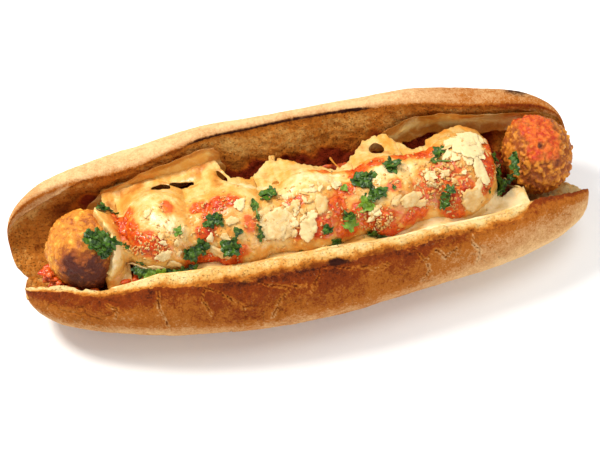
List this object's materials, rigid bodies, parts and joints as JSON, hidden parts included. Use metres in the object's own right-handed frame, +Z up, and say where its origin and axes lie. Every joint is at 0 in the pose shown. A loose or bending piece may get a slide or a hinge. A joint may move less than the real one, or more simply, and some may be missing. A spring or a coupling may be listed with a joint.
{
  "type": "meatball submarine sandwich",
  "caption": "Hinged long roll filled with a row of meatballs in tomato sauce under melted cheese, with cheese slices and parmesan shavings.",
  "frame": {"origin": "bottom centre of the sandwich's bounding box, on the surface it rests on", "axes": "+X along the roll's length, +Y from the lower front half of the roll towards the taller back half, +Z up"},
  "size_m": [0.2834, 0.1042, 0.0622],
  "materials": {
    "bread": "matte baked crust",
    "meatball": "browned, coarse",
    "cheese": "soft, satin",
    "tomato_sauce": "wet, glossy",
    "parmesan": "dry, matte"
  },
  "bodies": {
    "root": {"roll": "bread", "meatball_1": "meatball", "meatball_2": "meatball", "meatball_3": "meatball", "meatball_4": "meatball", "meatball_5": "meatball", "meatball_6": "meatball", "meatball_7": "meatball", "tomato_sauce": "tomato_sauce", "melted_cheese": "cheese", "cheese_slice_back_left": "cheese", "cheese_slice_back_right": "cheese", "cheese_slice_front_left": "cheese", "cheese_slice_front_right": "cheese", "parmesan_shaving_1": "parmesan", "parmesan_shaving_2": "parmesan", "parmesan_shaving_3": "parmesan", "parmesan_shaving_4": "parmesan", "parmesan_shaving_5": "parmesan", "parmesan_shaving_6": "parmesan", "parmesan_shaving_7": "parmesan", "parmesan_shaving_8": "parmesan"}
  },
  "joints": []
}
